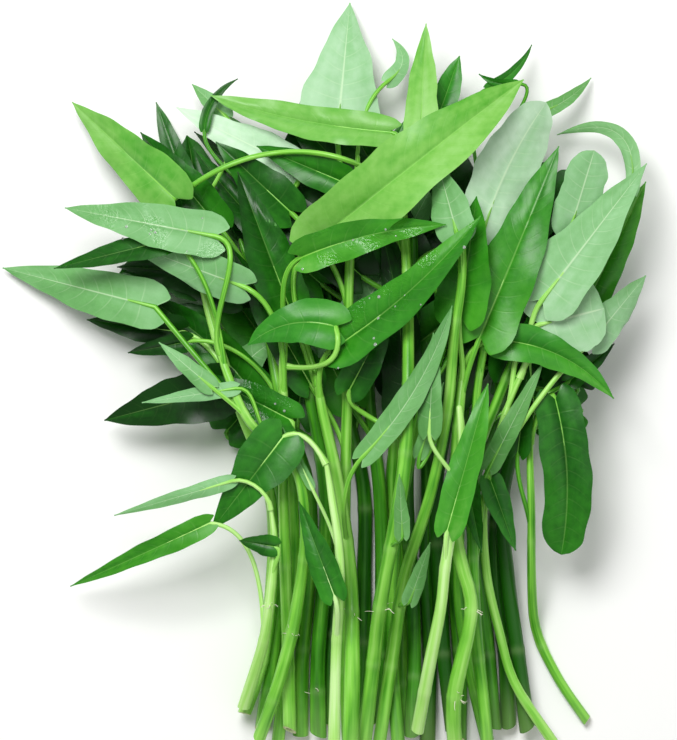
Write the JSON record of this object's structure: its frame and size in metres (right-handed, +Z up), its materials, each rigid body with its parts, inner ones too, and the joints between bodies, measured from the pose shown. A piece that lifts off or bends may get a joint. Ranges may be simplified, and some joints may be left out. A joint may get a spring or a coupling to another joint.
{
  "type": "water spinach bunch",
  "caption": "Bunch of fresh water spinach lying flat: leafy green stems side by side, fanning out into a crown of arrow-shaped leaves.",
  "frame": {"origin": "middle of the bunch's bounding box, at the table surface that it lies on", "axes": "+Z up from the table, +Y along the stems from their cut ends to the leaf tips, +X across the bunch"},
  "size_m": [0.3195, 0.3736, 0.0839],
  "materials": {
    "leafy_stem": "fresh leaf and stem, waxy and slightly wet",
    "water_drops": "clear water drops on the leaves"
  },
  "bodies": {
    "root": {"leafy_stem_01": "leafy_stem", "leafy_stem_02": "leafy_stem", "leafy_stem_03": "leafy_stem", "leafy_stem_04": "leafy_stem", "leafy_stem_05": "leafy_stem", "leafy_stem_06": "leafy_stem", "leafy_stem_07": "leafy_stem", "leafy_stem_08": "leafy_stem", "leafy_stem_09": "leafy_stem", "leafy_stem_10": "leafy_stem", "leafy_stem_11": "leafy_stem", "leafy_stem_12": "leafy_stem", "leafy_stem_13": "leafy_stem", "leafy_stem_14": "leafy_stem", "leafy_stem_15": "leafy_stem", "leafy_stem_16": "leafy_stem", "leafy_stem_17": "leafy_stem", "leafy_stem_18": "leafy_stem", "leafy_stem_19": "leafy_stem", "leafy_stem_20": "leafy_stem", "leafy_stem_21": "leafy_stem", "leafy_stem_22": "leafy_stem", "leafy_stem_23": "leafy_stem", "leafy_stem_24": "leafy_stem", "leafy_stem_25": "leafy_stem", "leafy_stem_26": "leafy_stem", "leafy_stem_27": "leafy_stem", "leafy_stem_28": "leafy_stem", "leafy_stem_29": "leafy_stem", "leafy_stem_30": "leafy_stem", "leafy_stem_31": "leafy_stem"}
  },
  "joints": []
}
